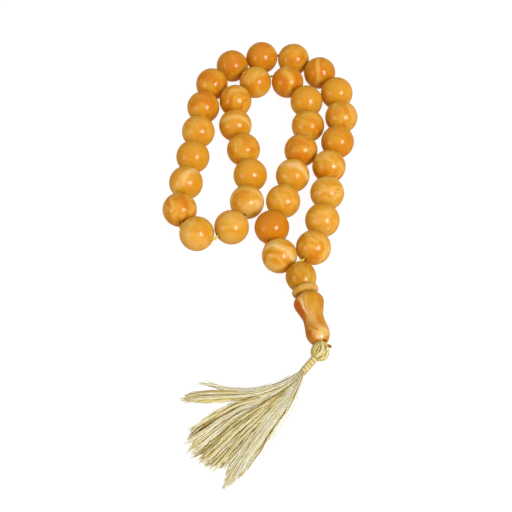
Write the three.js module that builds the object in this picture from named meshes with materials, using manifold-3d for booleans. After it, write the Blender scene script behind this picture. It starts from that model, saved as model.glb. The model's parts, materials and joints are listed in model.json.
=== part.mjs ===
// Misbaha prayer beads: round beads strung on one cord, closed by a three-piece imame and a thread tassel.
// The strand lies folded on a table. Millimetres, +Z up, +Y from the tassel towards the far end of the loop.
// The origin is the middle of the bottom of the object's box.
import * as THREE from "three";
import { mergeVertices } from "three/addons/utils/BufferGeometryUtils.js";
import Module from "manifold-3d";

const wasm = await Module();
wasm.setup();

// ---- Driving dimensions ----

// Beads
const beadCount = 33;
const beadDiameter = 12;
const beadBore = 1.7;
const countersinkFlare = 0.3; // wider than the bore, all round
const countersinkDepth = 0.4;
const mouthDiameter = beadBore + 2 * countersinkFlare;
const beadGap = 0.2; // between one bead and the next along the cord

// Cord
const cordDiameter = 0.8;
const cordRunGap = 0.2; // between the two runs inside the imame

// Imame, from the knob next to the beads to the foot over the tassel
const imameBore = 2.8;
const imameGap = 0.15; // between knob and collar, and between collar and body
const knobDiameter = 10.3;
const knobCrownHeight = 4.75; // from its widest place up towards the beads
const knobBaseDepth = 4.5; // from its widest place down to the collar
const knobBaseDiameter = 6.8;
const collarDiameter = 9;
const collarThickness = 2.4;
const bodyLength = 18;
const shoulderDiameter = 6;
const upperBulgeDiameter = 10.1;
const upperBulgeDepth = 3; // below the top of the body
const waistDiameter = 7;
const waistDepth = 9;
const lowerBulgeDiameter = 7.8;
const lowerBulgeDepth = 15;
const footDiameter = 5.4;

// Where the imame lies against the first and the last bead
const firstBeadSlack = 1.9;
const lastBeadGap = 0.2;
const throatRise = 0.9; // the cord runs this far out of the knob before it parts
const throatPull = 3; // an end bead turns its bore this much more to the throat than to its neighbour
const imameBearing = -76.5;

// Knot
const knotDiameter = 2.4;
const knotClearance = 0.3; // to the cord's ends
const knotPocketDiameter = knotDiameter + 1.4;
const knotPocketDepth = knotDiameter + 2 * knotClearance;
const tailReach = 2.6; // from the imame's axis to the melted end
const tailDrop = 2.2; // from the foot to the melted end
const tailDiameter = 0.7;
const meltedEndDiameter = 1.3;

// Tassel
const headDiameter = 6;
const headGap = 0.35;
const headBearing = -95; // from the imame's foot
const neckBearing = -131;
const neckReach = 9.6; // from the middle of the head to the end of the neck
const neckDiameter = 1.7;
const bindingClearance = 0.2;
const bindingThickness = 0.25;
const bindingDiameter = neckDiameter + 2 * (bindingClearance + bindingThickness);
const skirtLength = 46;
const skirtThickness = 1.8;
const skirtGap = 0.3;

// Facets
const beadSides = 12;
const imameSides = 16;
const cordSides = 8;

// The line that the beads lie on, seen from above, from the first bead to the last.
const loopRoute = [
  [19.5, 4], [23, 16], [25, 27.5], [26, 39.5], [29.5, 51], [31.5, 63], [30.5, 75], [24.5, 86],
  [14.5, 93.5], [2.5, 94.5], [-9, 90], [-16.5, 80.5], [-19.5, 68.5], [-21, 56.5], [-22.5, 45],
  [-24.5, 33], [-26.5, 21], [-20.5, 10], [-8.5, 12.5], [-3, 24], [-2, 36], [-4.5, 48], [-7.5, 59.5],
  [-7.5, 72], [0, 81.5], [12, 81.5], [19, 71], [19, 58.5], [16, 46.5], [13, 35.5], [9.5, 24],
  [5.5, 12.5], [8, 0.5],
];

// The locks of the skirt from above. Each pair is a share of the skirt's length and a bearing in degrees,
// seen from the end of the neck: out along the upper edge, over the tips, and back along the lower edge.
const skirtLocks = [
  {
    upper: [[0.05, 196], [0.16, 205], [0.25, 203], [0.5, 192], [0.69, 182.5]],
    tips: [[0.73, 185]],
    lower: [[0.62, 189.5], [0.5, 194.5], [0.25, 208], [0.16, 211], [0.05, 208]],
  },
  {
    upper: [[0.05, 214], [0.16, 214], [0.25, 210], [0.5, 196.5], [0.63, 191.5], [0.84, 190]],
    tips: [[0.9, 192], [0.89, 194]],
    lower: [[0.75, 197], [0.63, 200.5], [0.5, 203.5], [0.25, 215], [0.05, 221]],
  },
  {
    upper: [[0.05, 227], [0.25, 217.5], [0.5, 206.5], [0.66, 206.5], [0.87, 208.5]],
    tips: [[0.94, 214], [0.98, 219], [0.96, 224], [0.98, 231], [0.91, 233.5]],
    lower: [[0.6, 232.5], [0.3, 234.5], [0.05, 238]],
  },
  {
    upper: [[0.05, 244], [0.3, 237.5], [0.6, 234.5], [0.91, 235.5]],
    tips: [[1, 238], [0.93, 242]],
    lower: [[0.81, 241], [0.6, 243.5], [0.38, 246.5], [0.16, 254], [0.05, 262]],
  },
];

// ---- Materials ----

const resin = (colour) => new THREE.MeshStandardMaterial({ color: colour, roughness: 0.18, metalness: 0 });
const thread = (colour) => new THREE.MeshStandardMaterial({ color: colour, roughness: 0.7, metalness: 0 });
const beadResin = resin("#de9030");
const knobResin = resin("#cc9030");
const collarResin = resin("#ddb060");
const bodyResin = resin("#dc9c40");
const cordNylon = thread("#e8c83c");
const knotNylon = thread("#9a5420");
const tasselThread = thread("#e0d190");

// ---- Tools ----

const up = new THREE.Vector3(0, 0, 1);
const group = new THREE.Group();

function addMesh(name, geometry, material) {
  const mesh = new THREE.Mesh(geometry, material);
  mesh.name = name;
  group.add(mesh);
  return mesh;
}

// A point seen from another one: bearing 0 is along +X, and it grows towards +Y.
function along(from, bearing, reach, rise = 0) {
  const angle = THREE.MathUtils.degToRad(bearing);
  return new THREE.Vector3(Math.cos(angle), Math.sin(angle), 0)
    .multiplyScalar(reach)
    .add(from)
    .add(new THREE.Vector3(0, 0, rise));
}

// Puts a turned piece, made about +Y, at a place with its axis along a direction and a corner straight up.
function place(mesh, position, axis) {
  const side = new THREE.Vector3().crossVectors(axis, up).normalize();
  const top = new THREE.Vector3().crossVectors(side, axis);
  mesh.matrix.makeBasis(side, axis, top).setPosition(position);
  mesh.matrix.decompose(mesh.position, mesh.quaternion, mesh.scale);
}

const turned = (profile, sides) => new THREE.LatheGeometry([...profile, profile[0]], sides);

// Half the length of the axis inside a ball that is open at its two mouths.
const halfChord = (diameter, mouth) => Math.sqrt(diameter ** 2 - mouth ** 2) / 2;

// A path whose steps end exactly at the points it is given, so that a bend is where its point is.
class CordPath extends THREE.Curve {
  constructor(points) {
    super();
    this.points = points;
  }

  getPoint(t, target = new THREE.Vector3()) {
    const last = this.points.length - 1;
    const step = Math.min(Math.floor(t * last), last - 1);
    return target.lerpVectors(this.points[step], this.points[step + 1], t * last - step);
  }

  getUtoTmapping(u) {
    return u;
  }
}

function tube(points, diameter) {
  const section = new THREE.Shape(
    Array.from({ length: cordSides }, (_, i) => {
      const angle = (2 * Math.PI * i) / cordSides;
      return new THREE.Vector2(Math.cos(angle), Math.sin(angle)).multiplyScalar(diameter / 2);
    }),
  );
  return new THREE.ExtrudeGeometry(section, { steps: points.length - 1, extrudePath: new CordPath(points) });
}

function solid(geometry) {
  const bare = new THREE.BufferGeometry().setAttribute("position", geometry.getAttribute("position"));
  if (geometry.index) bare.setIndex(geometry.index);
  const merged = mergeVertices(bare, 1e-3);
  return new wasm.Manifold(
    new wasm.Mesh({
      numProp: 3,
      vertProperties: merged.attributes.position.array,
      triVerts: new Uint32Array(merged.index.array),
    }),
  );
}

function joined(geometries) {
  const mesh = geometries.map(solid).reduce((whole, piece) => whole.add(piece)).getMesh();
  return new THREE.BufferGeometry()
    .setAttribute("position", new THREE.BufferAttribute(mesh.vertProperties, 3))
    .setIndex(new THREE.BufferAttribute(mesh.triVerts, 1));
}

// ---- The beads' places ----

// Sets points along a curve, each one chord from the last, and stops at the curve's end.
function chordPoints(curve, chord, most) {
  const samples = curve.getPoints(curve.points.length * 200);
  const found = [samples[0]];
  for (const sample of samples) {
    if (found.length === most) break;
    if (sample.distanceTo(found.at(-1)) >= chord) found.push(sample);
  }
  return found;
}

// The beads' middles. The route is scaled until the last bead comes to its end, so its shape holds for any
// bead size and count.
function beadPlaces() {
  const height = beadDiameter / 2;
  const route = new THREE.CatmullRomCurve3(loopRoute.map(([x, y]) => new THREE.Vector3(x, y, 0)));
  let short = 1;
  let long = route.getLength();
  for (let i = 0; i < 40; i++) {
    const chord = (short + long) / 2;
    if (chordPoints(route, chord, beadCount).length === beadCount) short = chord;
    else long = chord;
  }
  const scale = (beadDiameter + beadGap) / short;
  return chordPoints(route, short, beadCount).map((point) => point.multiplyScalar(scale).setZ(height));
}

const beads = beadPlaces();

// ---- The imame's places ----

// The body lies on its two bulges, so its axis falls towards the foot.
const bodyFall = Math.atan2((upperBulgeDiameter - lowerBulgeDiameter) / 2, lowerBulgeDepth - upperBulgeDepth);
const imameAxis = along(new THREE.Vector3(), imameBearing, Math.cos(bodyFall), -Math.sin(bodyFall));

const knobTop = knobCrownHeight * Math.sqrt(1 - (imameBore / knobDiameter) ** 2);
const collarPlace = knobBaseDepth + imameGap + collarThickness / 2;
const bodyPlace = collarPlace + collarThickness / 2 + imameGap;
const footPlace = bodyPlace + bodyLength;

// The knob touches neither end bead: its middle is where the two distances meet, on the tassel's side.
function knobMiddle() {
  const first = beads[0];
  const last = beads.at(-1);
  const toFirst = beadDiameter / 2 + knobCrownHeight + firstBeadSlack;
  const toLast = beadDiameter / 2 + knobCrownHeight + lastBeadGap;
  const between = new THREE.Vector3().subVectors(first, last);
  const span = between.length();
  const across = (toLast ** 2 - toFirst ** 2 + span ** 2) / (2 * span);
  const drop = Math.sqrt(toLast ** 2 - across ** 2);
  between.normalize();
  const outwards = new THREE.Vector3(between.y, -between.x, 0);
  const height =
    (upperBulgeDiameter / 2) * Math.cos(bodyFall) + (bodyPlace + upperBulgeDepth) * Math.sin(bodyFall);
  return last.clone().addScaledVector(between, across).addScaledVector(outwards, drop).setZ(height);
}

const knobPoint = knobMiddle();
const onImame = (reach) => knobPoint.clone().addScaledVector(imameAxis, reach);
const footPoint = onImame(footPlace);
const throat = onImame(-knobTop - throatRise);

// ---- Beads ----

// A bore lies between the way the cord comes and the way it leaves.
function boreAxis(i) {
  const back = new THREE.Vector3().subVectors(beads[i], beads[i - 1] ?? throat).normalize();
  const on = new THREE.Vector3().subVectors(beads[i + 1] ?? throat, beads[i]).normalize();
  if (i === 0) back.multiplyScalar(throatPull);
  if (i === beads.length - 1) on.multiplyScalar(throatPull);
  return back.add(on).setZ(0).normalize();
}

// A ball with a straight bore that opens into a countersink at each mouth.
function beadProfile() {
  const radius = beadDiameter / 2;
  const straight = halfChord(beadDiameter, mouthDiameter) - countersinkDepth;
  const mouthAngle = Math.acos(mouthDiameter / beadDiameter);
  const ball = new THREE.EllipseCurve(0, 0, radius, radius, -mouthAngle, mouthAngle);
  return [
    new THREE.Vector2(beadBore / 2, straight),
    new THREE.Vector2(beadBore / 2, -straight),
    ...ball.getPoints(8),
  ];
}

beads.forEach((bead, i) => {
  const name = `bead_${String(i + 1).padStart(2, "0")}`;
  place(addMesh(name, turned(beadProfile(), beadSides), beadResin), bead, boreAxis(i));
});

// ---- Imame ----

// The knob has a round crown towards the beads and a fuller base, cut flat at the collar.
function knobProfile() {
  const radius = knobDiameter / 2;
  const baseAngle = Math.acos(knobBaseDiameter / knobDiameter);
  const mouthAngle = Math.acos(imameBore / knobDiameter);
  const base = new THREE.EllipseCurve(0, 0, radius, knobBaseDepth / Math.sin(baseAngle), -baseAngle, 0);
  const crown = new THREE.EllipseCurve(0, 0, radius, knobCrownHeight, 0, mouthAngle);
  return [
    new THREE.Vector2(imameBore / 2, -knobBaseDepth),
    ...base.getPoints(4),
    ...crown.getPoints(5).slice(1),
  ];
}

const towardsBeads = imameAxis.clone().negate();
place(addMesh("imame_knob", turned(knobProfile(), imameSides), knobResin), knobPoint, towardsBeads);

// The collar is a ring with a half-round rim.
function collarProfile() {
  const rim = new THREE.EllipseCurve(
    (collarDiameter - collarThickness) / 2, 0, collarThickness / 2, collarThickness / 2, -Math.PI / 2, Math.PI / 2,
  );
  return [
    new THREE.Vector2(imameBore / 2, collarThickness / 2),
    new THREE.Vector2(imameBore / 2, -collarThickness / 2),
    ...rim.getPoints(6),
  ];
}

place(addMesh("imame_collar", turned(collarProfile(), imameSides), collarResin), onImame(collarPlace), imameAxis);

// The body runs from its foot, at 0, up to its shoulder, with a pocket for the knot in the foot.
function bodyProfile() {
  const outline = new THREE.SplineCurve([
    new THREE.Vector2(footDiameter / 2, 0),
    new THREE.Vector2(lowerBulgeDiameter / 2, bodyLength - lowerBulgeDepth),
    new THREE.Vector2(waistDiameter / 2, bodyLength - waistDepth),
    new THREE.Vector2(upperBulgeDiameter / 2, bodyLength - upperBulgeDepth),
    new THREE.Vector2(shoulderDiameter / 2, bodyLength),
  ]);
  return [
    new THREE.Vector2(imameBore / 2, bodyLength),
    new THREE.Vector2(imameBore / 2, knotPocketDepth),
    new THREE.Vector2(knotPocketDiameter / 2, knotPocketDepth),
    new THREE.Vector2(knotPocketDiameter / 2, 0),
    ...outline.getPoints(16),
  ];
}

place(addMesh("imame_body", turned(bodyProfile(), imameSides), bodyResin), footPoint, towardsBeads);

// ---- Cord ----

// One cord: up one side of the imame, round all the beads from the last to the first, and down again.
const sideways = new THREE.Vector3().crossVectors(imameAxis, up).normalize();
const knotPlace = footPlace - knotDiameter / 2;
const cordEnd = knotPlace - knotDiameter / 2 - knotClearance;

function imameRun(side) {
  const offset = sideways.clone().multiplyScalar((side * (cordDiameter + cordRunGap)) / 2);
  return [cordEnd, bodyPlace, -knobTop, -knobTop - throatRise].map((reach) => onImame(reach).add(offset));
}

function beadMouths(i) {
  const half = halfChord(beadDiameter, mouthDiameter);
  const axis = boreAxis(i);
  return [beads[i].clone().addScaledVector(axis, half), beads[i].clone().addScaledVector(axis, -half)];
}

const cordPoints = [
  ...imameRun(1),
  ...beads.map((_, i) => beadMouths(i)).reverse().flat(),
  ...imameRun(-1).reverse(),
];
addMesh("string_cord", tube(cordPoints, cordDiameter), cordNylon);

// The knot sits in the foot's pocket. Its melted tail lies out between the foot and the tassel's head.
function knotSolid() {
  const knot = onImame(knotPlace);
  const outwards = sideways.clone().negate();
  const bend = onImame(footPlace + tailDiameter / 2).addScaledVector(outwards, tailReach / 2);
  const end = onImame(footPlace + tailDrop).addScaledVector(outwards, tailReach);
  const at = (geometry, point) => geometry.translate(point.x, point.y, point.z);
  return joined([
    at(new THREE.SphereGeometry(knotDiameter / 2, 12, 8), knot),
    tube([knot, bend, end], tailDiameter),
    at(new THREE.SphereGeometry(meltedEndDiameter / 2, 8, 6), end),
  ]);
}

addMesh("string_knot", knotSolid(), knotNylon);

// ---- Tassel ----

// The head lies on the table beside the foot, and the neck falls from it to the skirt.
const headPoint = along(footPoint, headBearing, headDiameter / 2 + headGap).setZ(headDiameter / 2);
const neckFall = Math.asin((headDiameter - bindingDiameter) / 2 / neckReach);
const neckAxis = along(new THREE.Vector3(), neckBearing, Math.cos(neckFall), -Math.sin(neckFall));
const neckPoint = headPoint.clone().addScaledVector(neckAxis, neckReach);

// The head and the neck are one bundle of threads.
function headProfile() {
  const radius = headDiameter / 2;
  const neckAngle = Math.acos(neckDiameter / headDiameter);
  const ball = new THREE.EllipseCurve(0, 0, radius, radius, -Math.PI / 2, neckAngle);
  return [
    ...ball.getPoints(10),
    new THREE.Vector2(neckDiameter / 2, neckReach),
    new THREE.Vector2(0, neckReach),
  ];
}

place(addMesh("tassel_head", new THREE.LatheGeometry(headProfile(), imameSides), tasselThread), headPoint, neckAxis);

function bindingProfile() {
  const outer = bindingDiameter / 2;
  const inner = neckDiameter / 2 + bindingClearance;
  const from = halfChord(headDiameter, bindingDiameter) + bindingClearance;
  const to = neckReach - bindingClearance;
  const bow = (outer - inner) / 2;
  return [
    new THREE.Vector2(inner, to),
    new THREE.Vector2(inner, from),
    new THREE.Vector2(outer - bow, from),
    new THREE.Vector2(outer, from + bow),
    new THREE.Vector2(outer, to - bow),
    new THREE.Vector2(outer - bow, to),
  ];
}

place(addMesh("neck_binding", turned(bindingProfile(), imameSides), tasselThread), headPoint, neckAxis);

function lockSolid({ upper, tips, lower }) {
  const root = along(neckPoint, neckBearing, skirtGap).setZ(0);
  const at = ([share, bearing]) => {
    const point = along(root, bearing, share * skirtLength);
    return new THREE.Vector2(point.x, point.y);
  };
  const outline = new THREE.Shape(new THREE.SplineCurve(upper.map(at)).getPoints(10));
  tips.map(at).forEach((point) => outline.lineTo(point.x, point.y));
  new THREE.SplineCurve(lower.map(at)).getPoints(10).forEach((point) => outline.lineTo(point.x, point.y));
  return new THREE.ExtrudeGeometry(outline, { depth: skirtThickness, bevelEnabled: false });
}

skirtLocks.forEach((lock, i) => addMesh(`skirt_lock_${i + 1}`, lockSolid(lock), tasselThread));

// ---- Origin ----

const box = new THREE.Box3().setFromObject(group, true);
const middle = box.getCenter(new THREE.Vector3());
group.position.set(-middle.x, -middle.y, -box.min.z);

export default group;
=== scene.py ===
"""Misbaha prayer beads: marbled resin beads on a nylon string, a three-piece imame and a thread tassel.

Lengths are millimetres until a piece is put in its place, which turns them into the frame's metres.
"""

import itertools
import json
import logging
import math
import random
from collections.abc import Callable, Sequence
from dataclasses import dataclass, field
from enum import Enum

import bmesh
import bpy
from mathutils import Matrix, Vector
from mathutils.noise import noise


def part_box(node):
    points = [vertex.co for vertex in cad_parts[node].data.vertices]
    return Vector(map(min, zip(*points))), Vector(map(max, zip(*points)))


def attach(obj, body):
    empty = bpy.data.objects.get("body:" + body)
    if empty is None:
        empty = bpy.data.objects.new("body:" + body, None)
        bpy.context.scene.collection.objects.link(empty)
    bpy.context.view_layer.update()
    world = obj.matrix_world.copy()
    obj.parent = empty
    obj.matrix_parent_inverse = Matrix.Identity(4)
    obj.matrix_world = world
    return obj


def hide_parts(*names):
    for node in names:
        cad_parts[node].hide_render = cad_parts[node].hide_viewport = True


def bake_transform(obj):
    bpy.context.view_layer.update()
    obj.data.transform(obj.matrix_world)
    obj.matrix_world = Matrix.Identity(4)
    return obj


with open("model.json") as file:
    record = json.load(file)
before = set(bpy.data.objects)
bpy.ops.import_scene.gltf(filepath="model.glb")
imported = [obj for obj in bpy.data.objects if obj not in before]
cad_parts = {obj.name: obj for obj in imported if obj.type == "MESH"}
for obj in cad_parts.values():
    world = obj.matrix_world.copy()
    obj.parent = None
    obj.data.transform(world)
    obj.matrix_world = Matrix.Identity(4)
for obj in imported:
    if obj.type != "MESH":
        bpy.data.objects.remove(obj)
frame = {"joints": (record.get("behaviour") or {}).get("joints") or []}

LOG = logging.getLogger("misbaha")
MM = 0.001
UP = Vector((0, 0, 1))
VIEW_ELEVATION = 54.21  # how far above the table the viewer is, in degrees
TO_VIEWER = Vector((0, -math.cos(math.radians(VIEW_ELEVATION)), math.sin(math.radians(VIEW_ELEVATION))))
SEED = 33


# ---- Places that the frame gives ----


def joint_place(name: str) -> Vector:
    """Gives the point that a joint turns about, in millimetres."""
    return Vector(joint_named(name)["pos_m"]) / MM


def joint_axis(name: str) -> Vector:
    """Gives the direction of a joint's axis."""
    return Vector(joint_named(name)["axis"]).normalized()


def joint_named(name: str) -> dict:
    """Finds a joint of the frame by its name."""
    return next(joint for joint in frame["joints"] if joint["name"] == name)


def turned_to(axis: Vector, place: Vector) -> Matrix:
    """Makes the matrix that puts a piece, made in millimetres about +Z, in its place.

    Args:
        axis: The direction that the piece's Z takes.
        place: Where the piece's origin goes, in millimetres.

    Returns:
        A matrix from the piece's own millimetres to the frame's metres.
    """
    turn = axis.to_track_quat("Z", "Y").to_matrix().to_4x4()
    return Matrix.Scale(MM, 4) @ Matrix.Translation(place) @ turn


# ---- Lines ----


def smooth_line(points: Sequence[Vector], steps: int) -> list[Vector]:
    """Draws a Catmull-Rom curve through points.

    Args:
        points: The points that it goes through.
        steps: How many equal steps of the curve's parameter it is cut into.

    Returns:
        steps + 1 points on the curve.
    """
    last = len(points) - 1
    found = []
    for i in range(steps + 1):
        place = last * i / steps
        cell = min(int(place), last - 1)
        t = place - cell
        before, start = points[max(cell - 1, 0)], points[cell]
        end, after = points[cell + 1], points[min(cell + 2, last)]
        found.append(
            start
            + (end - before) * (t / 2)
            + (before * 2 - start * 5 + end * 4 - after) * (t**2 / 2)
            + (start * 3 - before - end * 3 + after) * (t**3 / 2)
        )
    return found


def evenly(line: Sequence[Vector], steps: int) -> list[Vector]:
    """Sets points on a line at equal distances along it.

    Args:
        line: The points of the line.
        steps: How many equal stretches it is cut into.

    Returns:
        steps + 1 points.
    """
    runs = [0.0, *itertools.accumulate((b - a).length for a, b in zip(line, line[1:]))]
    found, cell = [], 0
    for i in range(steps + 1):
        reach = runs[-1] * i / steps
        while cell < len(line) - 2 and runs[cell + 1] < reach:
            cell += 1
        share = (reach - runs[cell]) / max(runs[cell + 1] - runs[cell], 1e-9)
        found.append(line[cell].lerp(line[cell + 1], share))
    return found


def between(pairs: Sequence[tuple[float, float]], at: float) -> float:
    """Reads a value off a line of (place, value) pairs, straight between them and level past the ends."""
    if at <= pairs[0][0]:
        return pairs[0][1]
    for (a, low), (b, high) in zip(pairs, pairs[1:]):
        if at <= b:
            return low + (high - low) * (at - a) / (b - a)
    return pairs[-1][1]


# ---- Mesh tools ----


def spun(outline: Sequence[tuple[float, float]], segments: int, corner: float) -> bmesh.types.BMesh:
    """Spins a closed outline about Z into one skin with rounded corners.

    Args:
        outline: (radius, height) points, in order round the outline.
        segments: Steps of the full turn.
        corner: Width of the bevel on every sharp ring.

    Returns:
        The new bmesh.
    """
    bm = bmesh.new()
    ring = [bm.verts.new((radius, 0, height)) for radius, height in outline]
    edges = [bm.edges.new(pair) for pair in zip(ring, ring[1:] + ring[:1])]
    bmesh.ops.spin(
        bm, geom=ring + edges, cent=(0, 0, 0), axis=(0, 0, 1), angle=math.tau, steps=segments, use_merge=True
    )
    bmesh.ops.remove_doubles(bm, verts=bm.verts, dist=1e-4)
    bmesh.ops.recalc_face_normals(bm, faces=bm.faces)
    sharp = [edge for edge in bm.edges if edge.is_manifold and edge.calc_face_angle() > math.radians(25)]
    bmesh.ops.bevel(
        bm,
        geom=sharp,
        offset=corner,
        offset_type="OFFSET",
        segments=3,
        profile=0.5,
        affect="EDGES",
        material=-1,
    )
    return bm


def finished(
    name: str, bm: bmesh.types.BMesh, place: Matrix, material: bpy.types.Material
) -> bpy.types.Object:
    """Turns a bmesh into a smooth object at the origin, with its place in its mesh.

    Args:
        name: The piece's name.
        bm: The mesh in millimetres, which is freed.
        place: The matrix that puts it in the frame.
        material: The piece's finish.

    Returns:
        The new object.
    """
    bmesh.ops.transform(bm, matrix=place, verts=bm.verts)
    mesh = bpy.data.meshes.new(name)
    bm.to_mesh(mesh)
    bm.free()
    mesh.materials.append(material)
    mesh.shade_smooth()
    piece = bpy.data.objects.new(name, mesh)
    bpy.context.scene.collection.objects.link(piece)
    LOG.info("%s: %d faces", name, len(mesh.polygons))
    return piece


def set_vectors(piece: bpy.types.Object, name: str, values: Callable[[Vector], Vector]) -> None:
    """Writes a vector attribute on a piece's points.

    Args:
        piece: The piece.
        name: The attribute's name.
        values: Gives the value for a point in the frame's metres.
    """
    layer = piece.data.attributes.new(name, "FLOAT_VECTOR", "POINT")
    flat = [part for vertex in piece.data.vertices for part in values(vertex.co)]
    layer.data.foreach_set("vector", flat)


class Thread:
    """A straight closed tube that is bent along a line each time a thread is laid."""

    def __init__(self, sides: int, steps: int) -> None:
        """Makes the straight tube, one unit long along Z.

        Args:
            sides: Corners of its section.
            steps: Stretches along its length.
        """
        self.steps = steps
        bm = bmesh.new()
        bmesh.ops.create_circle(bm, cap_ends=True, segments=sides, radius=1)
        end = bmesh.ops.extrude_face_region(bm, geom=bm.faces[:])
        top = [part for part in end["geom"] if isinstance(part, bmesh.types.BMVert)]
        bmesh.ops.translate(bm, verts=top, vec=UP)
        long_edges = [edge for edge in bm.edges if abs(edge.verts[0].co.z - edge.verts[1].co.z) > 0.5]
        bmesh.ops.subdivide_edges(bm, edges=long_edges, cuts=steps - 1)
        bmesh.ops.recalc_face_normals(bm, faces=bm.faces)
        self.mesh = bpy.data.meshes.new("straight_thread")
        bm.to_mesh(self.mesh)
        bm.free()

    def lay(
        self,
        bm: bmesh.types.BMesh,
        line: Sequence[Vector],
        radius: Callable[[float], float],
        shade: float = 0.5,
        plies: int = 0,
        lay_length: float = 1.0,
    ) -> None:
        """Adds one thread along a line.

        Args:
            bm: The mesh that it is added to.
            line: The middle of the thread, with steps + 1 points.
            radius: Gives its radius at a share of its length.
            shade: How light the thread is, from 0 to 1.
            plies: How many plies stand out of its section, or 0 for a smooth one.
            lay_length: The length in which the plies turn once.
        """
        laid_before = set(bm.verts)
        bm.from_mesh(self.mesh)
        layer = bm.verts.layers.float_vector["strand"]
        runs = [0.0, *itertools.accumulate((b - a).length for a, b in zip(line, line[1:]))]
        frames = self._frames(line)
        for vertex in [vertex for vertex in bm.verts if vertex not in laid_before]:
            ring = round(vertex.co.z * self.steps)
            point, side, over = frames[ring]
            angle = math.atan2(vertex.co.y, vertex.co.x)
            width = radius(ring / self.steps)
            turn = math.tau * runs[ring] / lay_length
            if plies:
                width *= 0.84 + 0.16 * abs(math.cos(plies * (angle - turn) / 2))
            vertex.co = point + (side * math.cos(angle) + over * math.sin(angle)) * width
            vertex[layer] = (shade, runs[ring], angle / math.tau)

    @staticmethod
    def _frames(line: Sequence[Vector]) -> list[tuple[Vector, Vector, Vector]]:
        """Carries a section along a line without turning it, as (point, side, over) at each point."""
        frames = []
        side = None
        for i, point in enumerate(line):
            ahead = (line[min(i + 1, len(line) - 1)] - line[max(i - 1, 0)]).normalized()
            if side is None:
                side = ahead.orthogonal()
            side = (side - ahead * side.dot(ahead)).normalized()
            frames.append((point, side, ahead.cross(side)))
        return frames


def thread_mesh() -> bmesh.types.BMesh:
    """Makes an empty mesh that holds each thread's shade, run and turn."""
    bm = bmesh.new()
    bm.verts.layers.float_vector.new("strand")
    return bm


# ---- Node tools ----


def linear(colour: str, alpha: float = 1.0) -> tuple[float, float, float, float]:
    """Turns an sRGB hex colour, such as #DE8C26, into the linear one that a socket takes."""
    parts = [int(colour[i : i + 2], 16) / 255 for i in (1, 3, 5)]
    red, green, blue = (p / 12.92 if p <= 0.04045 else ((p + 0.055) / 1.055) ** 2.4 for p in parts)
    return red, green, blue, alpha


def add_node(tree: bpy.types.NodeTree, kind: str, inputs: dict | None = None, **settings) -> bpy.types.Node:
    """Adds a node with its settings and links.

    Args:
        tree: The node tree.
        kind: The node's type.
        inputs: A value, or an output to link, for each input by its name or number.
        **settings: The node's own properties.

    Returns:
        The new node.
    """
    node = tree.nodes.new(kind)
    for name, value in settings.items():
        setattr(node, name, value)
    for key, value in (inputs or {}).items():
        if isinstance(value, bpy.types.NodeSocket):
            tree.links.new(value, node.inputs[key])
        else:
            node.inputs[key].default_value = value
    return node


def fill_ramp(node: bpy.types.Node, stops: Sequence[tuple[float, str]]) -> None:
    """Gives a colour ramp its stops, as (place, hex colour), with a smooth change between them."""
    ramp = node.color_ramp
    ramp.interpolation = "EASE"
    while len(ramp.elements) < len(stops):
        ramp.elements.new(0.5)
    for element, (place, colour) in zip(ramp.elements, stops):
        element.position = place
        element.color = linear(colour)


def new_material(name: str) -> tuple[bpy.types.Material, bpy.types.NodeTree]:
    """Makes an empty node material."""
    material = bpy.data.materials.new(name)
    material.use_nodes = True
    material.node_tree.nodes.clear()
    return material, material.node_tree


# ---- Finishes ----


@dataclass(frozen=True)
class Patch:
    """A soft-edged cloud of another colour at a known place of a cast piece.

    Args:
        centre: Its middle, in millimetres to the right, along the piece and towards the viewer.
        size: Its reach from the middle in the same three directions.
        turn: How far it is turned anticlockwise, in degrees.
        colour: Its colour in sRGB.
        strength: How much of it covers what lies under it.
    """

    centre: tuple[float, float, float]
    size: tuple[float, float, float]
    turn: float
    colour: str
    strength: float = 1.0


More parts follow.
